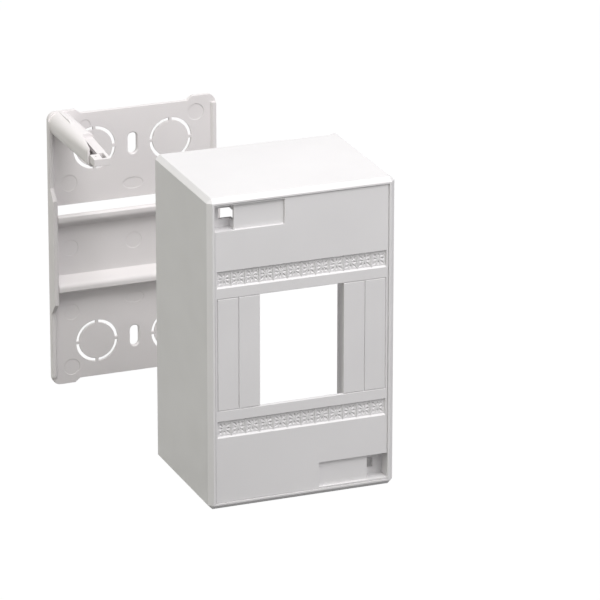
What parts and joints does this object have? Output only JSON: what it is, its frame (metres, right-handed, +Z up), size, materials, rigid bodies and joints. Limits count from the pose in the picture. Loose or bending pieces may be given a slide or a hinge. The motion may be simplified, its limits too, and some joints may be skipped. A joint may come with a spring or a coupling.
{
  "type": "mini distribution enclosure",
  "caption": "Surface-mounting mini distribution enclosure, empty: deep cover with device window and break-out strips, taken off its base plate with moulded rail and snap posts",
  "frame": {"origin": "middle of the footprint at floor level, under the middle of the overall bounding box", "axes": "+X to the right of somebody facing the front panel, +Y from the front panel towards the wall side, +Z up"},
  "size_m": [0.0942, 0.159, 0.133],
  "materials": {
    "cover_plastic": "off-white moulded plastic, satin",
    "base_plastic": "slightly warmer off-white moulded plastic, satin"
  },
  "bodies": {
    "root": {"cover": "cover_plastic", "base_plate": "base_plastic"}
  },
  "joints": []
}
